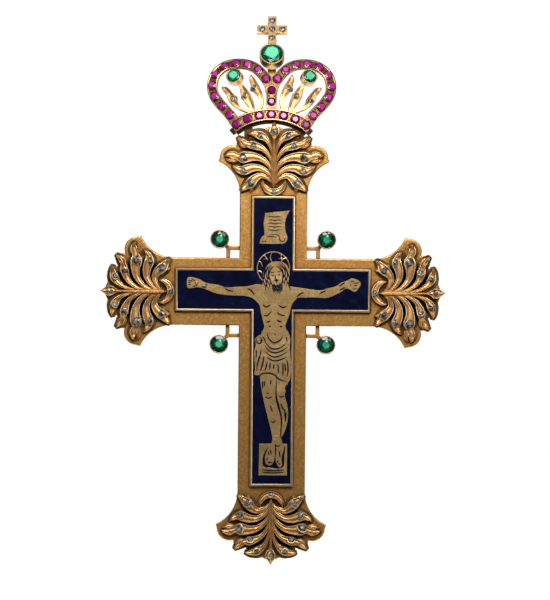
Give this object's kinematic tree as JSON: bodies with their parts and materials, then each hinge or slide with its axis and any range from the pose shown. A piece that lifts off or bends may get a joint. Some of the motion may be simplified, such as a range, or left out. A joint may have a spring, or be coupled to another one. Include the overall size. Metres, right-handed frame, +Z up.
{
  "type": "jewelled pectoral cross",
  "caption": "Upright flared cross with an enamel panel, stone-set leaf ends, corner stones and a hinged stone-set crown that carries a hanging loop.",
  "frame": {"origin": "centre of the arms' crossing on the flat back face", "axes": "+Z up the long arm towards the crown, +X to the viewer's right, front towards -Y, +Y out of the back"},
  "size_m": [0.0828, 0.0158, 0.1321],
  "materials": {
    "satin_gold": "satin",
    "pale_gold": "satin",
    "leaf_gold": "polished",
    "bright_gold": "polished",
    "navy_enamel": "gloss",
    "ruby": "polished",
    "emerald": "polished",
    "diamond": "polished"
  },
  "bodies": {
    "cross": {"cross_body": "satin_gold", "back_plate": "satin_gold", "back_screws": "satin_gold", "plaque": "pale_gold", "enamel": "navy_enamel", "plaque_rivets": "satin_gold", "palmette_top": "leaf_gold", "palmette_right": "leaf_gold", "palmette_foot": "leaf_gold", "palmette_left": "leaf_gold", "leaf_stones_top": "diamond", "leaf_stones_right": "diamond", "leaf_stones_foot": "diamond", "leaf_stones_left": "diamond", "palmette_rivets": "satin_gold", "corner_bracket_1": "satin_gold", "corner_bracket_2": "satin_gold", "corner_bracket_3": "satin_gold", "corner_bracket_4": "satin_gold", "corner_collet_1": "bright_gold", "corner_collet_2": "bright_gold", "corner_collet_3": "bright_gold", "corner_collet_4": "bright_gold", "corner_stone_1": "emerald", "corner_stone_2": "emerald", "corner_stone_3": "emerald", "corner_stone_4": "emerald", "crown_hinge_pin": "satin_gold"},
    "crown": {"crown_band": "bright_gold", "crown_arch_left": "bright_gold", "crown_arch_right": "bright_gold", "crown_stem": "bright_gold", "band_rubies": "ruby", "arch_rubies_left": "ruby", "arch_rubies_right": "ruby", "stem_rubies": "ruby", "sprig_left": "leaf_gold", "sprig_right": "leaf_gold", "sprig_stones_left": "diamond", "sprig_stones_right": "diamond", "crown_collet_left": "bright_gold", "crown_collet_right": "bright_gold", "crown_stone_left": "emerald", "crown_stone_right": "emerald", "top_collet": "bright_gold", "top_stone": "emerald", "finial_cross": "bright_gold", "finial_stones": "diamond", "bail_pin": "bright_gold"},
    "bail": {"bail": "bright_gold"}
  },
  "joints": [
    {"name": "crown_hinge", "type": "hinge", "parent": "cross", "child": "crown", "pos_m": [0, -0.00115, 0.0353], "axis": [-1, 0, 0], "range_deg": [0, 75]},
    {"name": "bail_hinge", "type": "hinge", "parent": "crown", "child": "bail", "pos_m": [-0.0007, 0.0083, 0.0574], "axis": [1, 0, 0], "range_deg": [-8, 140]}
  ]
}
